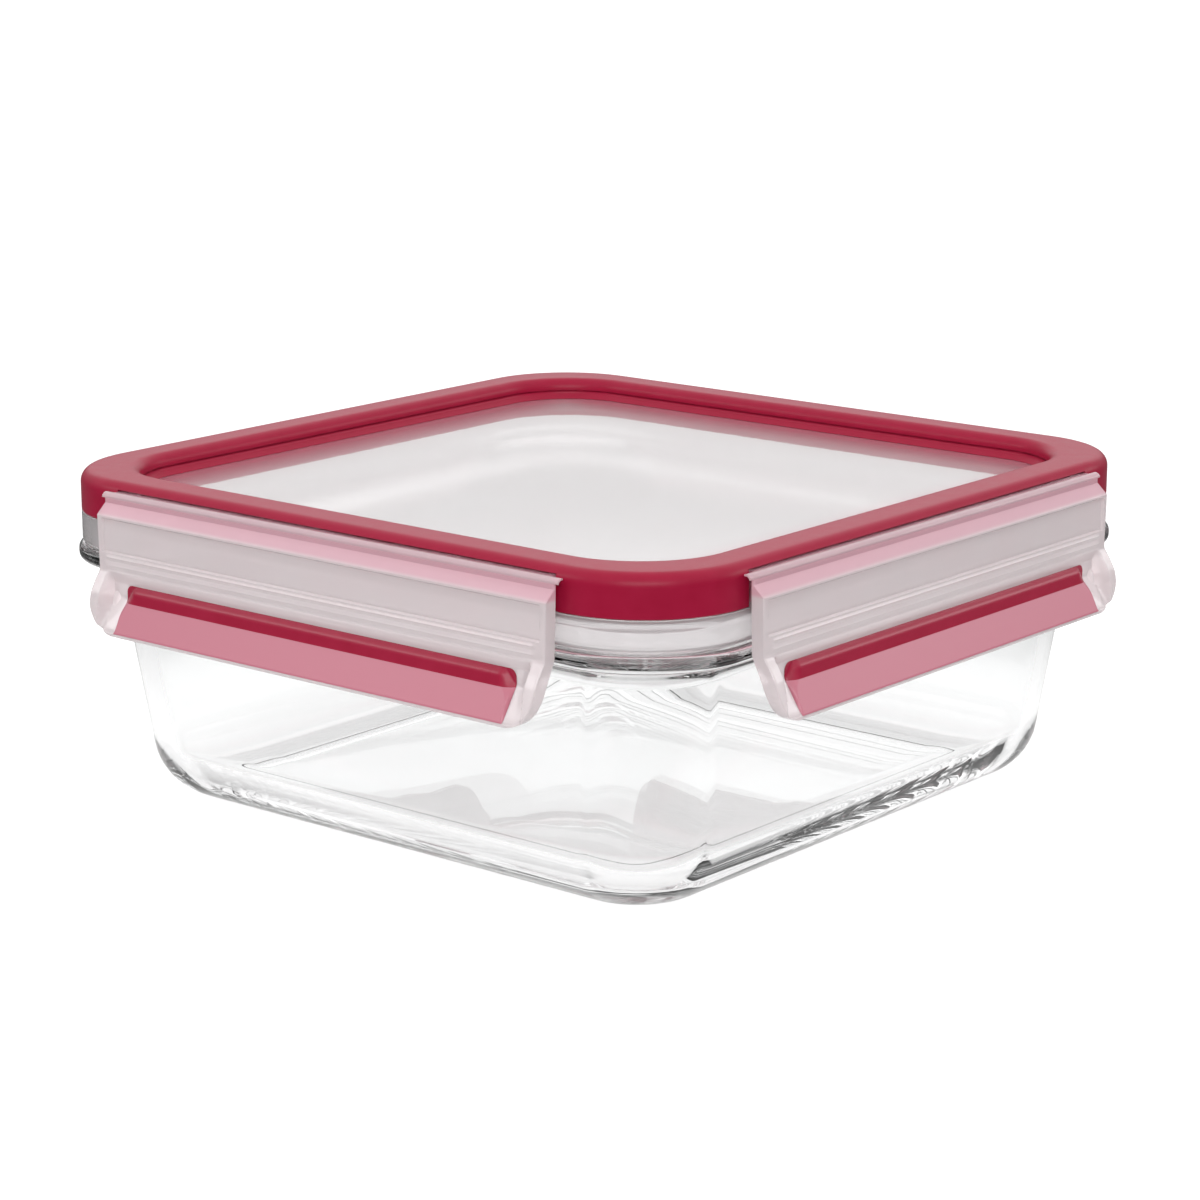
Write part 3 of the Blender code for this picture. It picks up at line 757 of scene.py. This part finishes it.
def makeFloor():
    # A white sweep. It glows under the object, as a lit table does, and less further out, which
    # gives the glass its darker edges; seen directly it is plain white with a soft contact shade.
    look = stageLook
    half = look["floorSize"] / 2
    corners = [(x * half, y * half, look["drop"]) for x, y in ((-1, -1), (1, -1), (1, 1), (-1, 1))]
    mesh = bpy.data.meshes.new("floor")
    mesh.from_pydata(corners, [], [(0, 1, 2, 3)])
    floor = bpy.data.objects.new("floor", mesh)
    bpy.context.scene.collection.objects.link(floor)
    material, shader, wire, place = startMaterial("floorPaint", {
        "Roughness": look["roughness"], "Emission Strength": 1.0,
    })
    distance = wire.node("VectorMath", {"operation": "LENGTH"}, {0: place}, output=1)
    share = wire.node("MapRange", {"interpolation_type": "SMOOTHSTEP"}, {
        0: distance, 1: look["nearReach"], 2: look["farReach"], 3: 1.0, 4: look["farShare"],
    })
    direct = wire.node("LightPath", {}, {})
    tone = share * look["floorTone"]
    shine = share * look["shine"] * (1 - direct) + direct * (look["cameraShine"] - share * look["cameraShade"])
    wire.feed(shader.inputs["Base Color"], wire.node("CombineColor", {}, {0: tone, 1: tone, 2: tone}))
    wire.feed(shader.inputs["Emission Color"], wire.node("CombineColor", {}, {0: shine, 1: shine, 2: shine}))
    mesh.materials.append(material)


def makeWorld():
    world = bpy.data.worlds.new("studio")
    bpy.context.scene.world = world
    world.use_nodes = True
    background = world.node_tree.nodes["Background"]
    wire = Wire(world.node_tree)
    direction = wire.node("TexCoord", {}, {}, output=0)
    height = wire.node("SeparateXYZ", {}, {0: direction}, output=2)
    low, high = [(stageLook[key],) * 3 for key in ("horizon", "zenith")]
    tone = wire.node("ValToRGB", {"stops": [(0.0, low), (stageLook["brightFrom"], high)]}, {0: height})
    direct = wire.node("LightPath", {}, {})
    plain = wire.node("Mix", {"data_type": "RGBA"}, {0: direct, 6: tone, 7: (1.0, 1.0, 1.0, 1.0)}, output=2)
    wire.feed(background.inputs["Color"], plain)
    background.inputs["Strength"].default_value = 1.0


def addSoftbox(name, place, target, size, power):
    light = bpy.data.lights.new(name, "AREA")
    light.shape = "RECTANGLE"
    light.size, light.size_y = size
    light.energy = power
    lamp = bpy.data.objects.new(name, light)
    bpy.context.scene.collection.objects.link(lamp)
    lamp.location = place
    lamp.rotation_euler = (Vector(target) - Vector(place)).to_track_quat("-Z", "Y").to_euler()


softboxes = [
    # name, place, target, size, watts
    ("leftBox", (-0.775, -0.81, 0.60), (0, 0, 0.05), (0.6, 0.30), 1.4),
    ("rightBox", (0.71, 0.94, 0.47), (0, 0, 0.05), (0.6, 0.30), 1.4),
    ("frontBox", (0.75, -0.92, 0.62), (0, 0, 0.05), (1.0, 0.5), 5.5),
    ("backBox", (-0.85, 1.05, 0.52), (0, 0, 0.06), (1.5, 0.6), 1.9),
]

viewFrom = {"azimuth": 39.54, "elevation": 13.71, "distance": 0.6897, "aimHeight": 0.0379, "lens": 97.83}


def makeCamera():
    # looks along the azimuth and down by the elevation at a point over the middle of the base
    azimuth, elevation = math.radians(viewFrom["azimuth"]), math.radians(viewFrom["elevation"])
    forward = np.array([-math.sin(azimuth) * math.cos(elevation), math.cos(azimuth) * math.cos(elevation),
                        -math.sin(elevation)])
    right = np.array([math.cos(azimuth), math.sin(azimuth), 0.0])
    up = np.cross(right, forward)
    place = up * viewFrom["aimHeight"] - forward * viewFrom["distance"]
    lens = bpy.data.cameras.new("camera")
    lens.lens = viewFrom["lens"]
    lens.sensor_width = 36.0
    lens.clip_start = 0.01
    camera = bpy.data.objects.new("camera", lens)
    bpy.context.scene.collection.objects.link(camera)
    turn = np.eye(4)
    turn[:3, 0], turn[:3, 1], turn[:3, 2], turn[:3, 3] = right, up, -forward, place
    camera.matrix_world = Matrix(turn.tolist())
    bpy.context.scene.camera = camera


makeFloor()
makeWorld()
for softbox in softboxes:
    addSoftbox(*softbox)
makeCamera()
scene = bpy.context.scene
scene.view_settings.view_transform = "Standard"
for kind in ("max", "glossy", "transmission", "transparent_max"):
    setattr(scene.cycles, kind + "_bounces", 24)        # light crosses many faces inside the glass
print("studio made")
